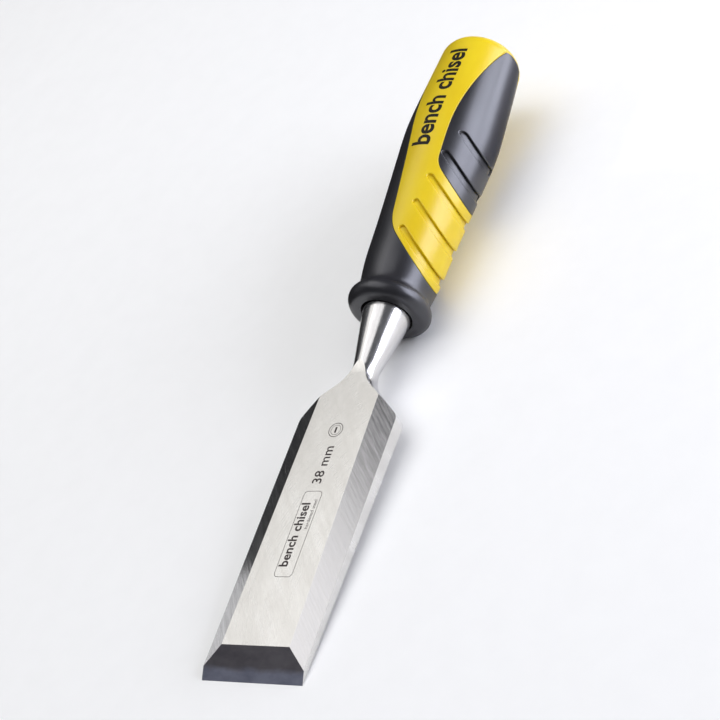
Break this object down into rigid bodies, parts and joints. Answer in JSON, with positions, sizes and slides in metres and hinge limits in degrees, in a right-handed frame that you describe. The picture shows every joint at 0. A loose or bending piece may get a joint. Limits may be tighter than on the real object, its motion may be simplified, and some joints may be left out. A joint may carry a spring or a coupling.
{
  "type": "bench chisel",
  "caption": "Bevel-edge bench chisel: ground steel blade with a conical neck in a hard plastic handle with soft rubber grips.",
  "frame": {"origin": "middle of the cutting edge, on the blade's flat back", "axes": "+X along the flat back from the cutting edge to the handle, +Z out of the bevelled side, +Y to the left seen from the cutting edge towards the handle"},
  "size_m": [0.2524, 0.038, 0.0335],
  "materials": {
    "blade_steel": "ground, with fine diagonal grinding lines; the neck is polished",
    "handle_plastic": "satin moulded, fine spark texture",
    "grip_rubber": "satin soft-touch"
  },
  "bodies": {
    "root": {"blade": "blade_steel", "handle_core": "handle_plastic", "front_grip": "grip_rubber", "palm_grip": "grip_rubber"}
  },
  "joints": []
}
